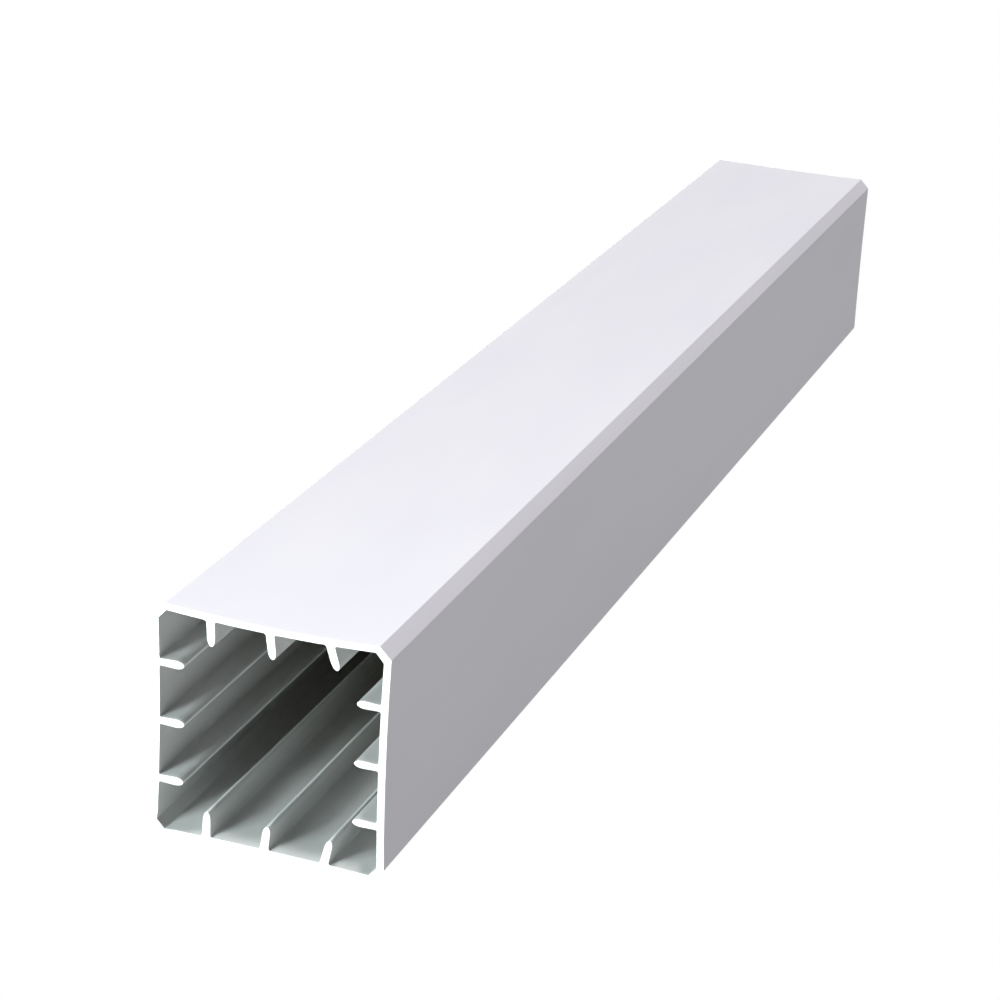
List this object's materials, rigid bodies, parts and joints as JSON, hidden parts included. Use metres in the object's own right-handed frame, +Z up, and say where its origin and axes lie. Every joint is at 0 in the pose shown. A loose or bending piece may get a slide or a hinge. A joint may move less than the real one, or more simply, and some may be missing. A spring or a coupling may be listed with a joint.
{
  "type": "post sleeve",
  "caption": "Square hollow extruded sleeve with bevelled corners and inner centring ribs, which slips down over a timber railing post.",
  "frame": {"origin": "under the middle of the sleeve, on the surface that it lies on", "axes": "+Y along the sleeve's length, +X across it to the right as seen from its -Y end, +Z up as it lies on one of its walls"},
  "size_m": [0.13, 0.9906, 0.13],
  "materials": {
    "sleeve_plastic": "satin"
  },
  "bodies": {
    "root": {"post_sleeve": "sleeve_plastic"}
  },
  "joints": []
}
